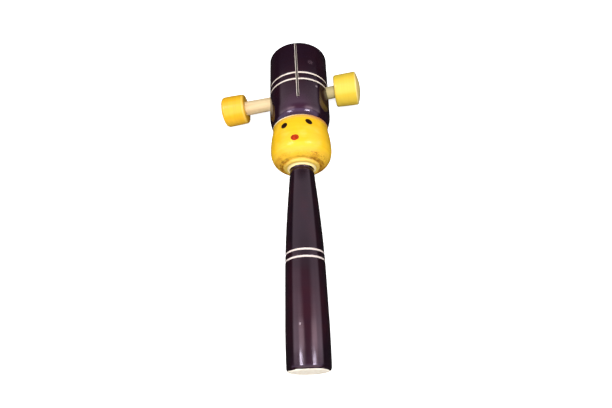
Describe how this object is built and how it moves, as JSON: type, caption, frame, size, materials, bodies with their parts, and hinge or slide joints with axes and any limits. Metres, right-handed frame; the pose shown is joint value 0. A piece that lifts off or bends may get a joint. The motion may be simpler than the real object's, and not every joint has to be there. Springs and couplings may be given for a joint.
{
  "type": "wooden doll rattle",
  "caption": "Turned, lacquered wooden doll rattle: tapered handle, round head and hollow slit hat, with a sliding cross rod whose end knobs knock on the hat.",
  "frame": {"origin": "centre of the handle's flat end face", "axes": "+Y along the doll's axis from the handle's end to the top of the hat, +Z out of the doll's face, +X along the rod to the larger knob; the doll lies on its back"},
  "size_m": [0.0978, 0.2161, 0.0406],
  "materials": {
    "purple_lacquer_handle": "dark purple lac, glossy, on turned wood",
    "yellow_lacquer_head": "yellow lac, satin gloss, on turned wood",
    "purple_lacquer_hat": "dark purple lac, glossy, on turned wood",
    "bare_wood": "bare, sanded, pale straight-grained wood",
    "yellow_lacquer_knob_left": "orange-yellow lac, gloss, on turned wood",
    "yellow_lacquer_knob_right": "lemon-yellow lac, gloss, on turned wood"
  },
  "bodies": {
    "doll": {"handle": "purple_lacquer_handle", "head": "yellow_lacquer_head", "hat": "purple_lacquer_hat"},
    "rod": {"rod": "bare_wood"},
    "knobs": {"knob_left": "yellow_lacquer_knob_left", "knob_right": "yellow_lacquer_knob_right"}
  },
  "joints": [
    {"name": "rod_slide", "type": "slide", "parent": "doll", "child": "rod", "axis": [0.9984, 0.0558, 0], "range_m": [-0.0042, 0.0168]},
    {"name": "knob_spin", "type": "hinge", "parent": "rod", "child": "knobs", "pos_m": [0, 0.1825, 0], "axis": [0.9984, 0.0558, 0], "continuous": true}
  ]
}
